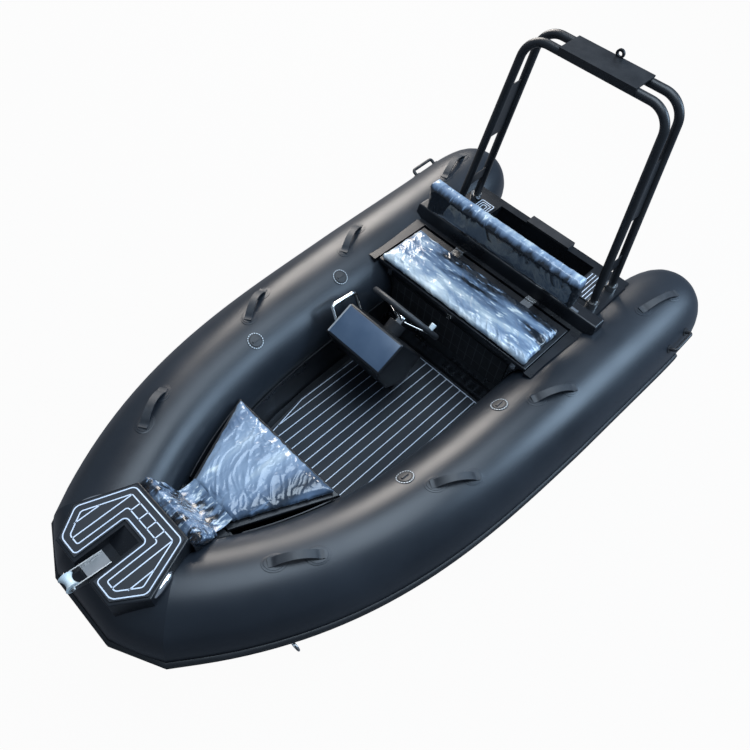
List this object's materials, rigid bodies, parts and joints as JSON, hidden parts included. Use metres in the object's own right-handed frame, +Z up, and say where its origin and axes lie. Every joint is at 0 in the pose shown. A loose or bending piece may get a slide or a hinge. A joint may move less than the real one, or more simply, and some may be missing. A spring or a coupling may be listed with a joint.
{
  "type": "inflatable rib boat",
  "caption": "Inflatable boat with a rigid V hull, helm console, lidded seat and bow lockers, backrest and stern arch.",
  "frame": {"origin": "on the centre line at the waterline, at the transom's aft face", "axes": "+X forward to the bow, +Y to port, +Z up"},
  "size_m": [3.1464, 1.794, 1.635],
  "materials": {
    "collar": "satin coated fabric",
    "strake": "matt ribbed rubber",
    "hull_shell": "gloss moulded shell",
    "moulding": "gloss moulded shell",
    "deck_pad": "brushed foam with pale grooves",
    "clamp_plastic": "matt",
    "cushion_vinyl": "soft vinyl",
    "steel": "polished",
    "black_metal": "satin powder coat",
    "arch_metal": "satin powder coat",
    "console_gloss": "high gloss",
    "black_plastic": "satin",
    "panel_plastic": "gloss",
    "wheel_grip": "soft grip",
    "roller_plastic": "satin",
    "chrome_trim": "polished",
    "strap_fabric": "woven webbing"
  },
  "bodies": {
    "boat": {"tube_port": "collar", "tube_starboard": "collar", "tube_bow": "collar", "rub_strake": "strake", "hull": "hull_shell", "cockpit_sole": "hull_shell", "sole_pad": "deck_pad", "cockpit_liners": "moulding", "transom": "moulding", "clamp_pad": "clamp_plastic", "stern_deck_port": "moulding", "stern_deck_starboard": "moulding", "well_floor": "moulding", "stern_pads": "deck_pad", "seat_wall": "moulding", "seat_box": "moulding", "seat_front_pad": "deck_pad", "seat_hinge_fixed": "steel", "seat_cheeks": "moulding", "seat_latches": "steel", "backrest": "cushion_vinyl", "backrest_brackets": "black_metal", "arch_front_hoop": "arch_metal", "arch_rear_hoop": "arch_metal", "arch_sockets": "steel", "arch_plate": "arch_metal", "arch_gussets": "arch_metal", "console": "console_gloss", "helm_boss": "black_plastic", "console_panel": "panel_plastic", "grab_rail": "steel", "bow_step": "moulding", "bow_step_pad": "deck_pad", "bow_channel": "steel", "side_lights": "chrome_trim", "bow_bulkhead": "moulding", "bow_locker": "moulding", "bow_hinge_fixed": "steel", "bow_bolster": "cushion_vinyl", "handles_port": "strap_fabric", "handles_starboard": "strap_fabric", "valves": "black_plastic", "carry_handles": "black_plastic", "tow_rings": "steel"},
    "steering_wheel": {"wheel_rim": "wheel_grip", "wheel_spokes": "steel"},
    "roller": {"bow_roller": "roller_plastic"},
    "seat_lid_body": {"seat_lid": "moulding", "seat_cushion": "cushion_vinyl", "seat_hinge_leaf": "steel"},
    "bow_lid_body": {"bow_lid": "moulding", "bow_cushion": "cushion_vinyl", "bow_hinge_leaf": "steel"}
  },
  "joints": [
    {"name": "helm_turn", "type": "hinge", "parent": "boat", "child": "steering_wheel", "pos_m": [1.02289, -0.162, 0.38472], "axis": [-0.8192, 0, 0.5736], "range_deg": [-540, 540]},
    {"name": "roller_spin", "type": "hinge", "parent": "boat", "child": "roller", "pos_m": [2.831, 0, 0.636], "axis": [0, 1, 0], "continuous": true},
    {"name": "seat_lid_hinge", "type": "hinge", "parent": "boat", "child": "seat_lid_body", "pos_m": [0.512, 0, 0.495], "axis": [0, -1, 0], "range_deg": [0, 50]},
    {"name": "bow_lid_hinge", "type": "hinge", "parent": "boat", "child": "bow_lid_body", "pos_m": [2.3, 0, 0.419], "axis": [0, 1, 0], "range_deg": [0, 70]}
  ]
}
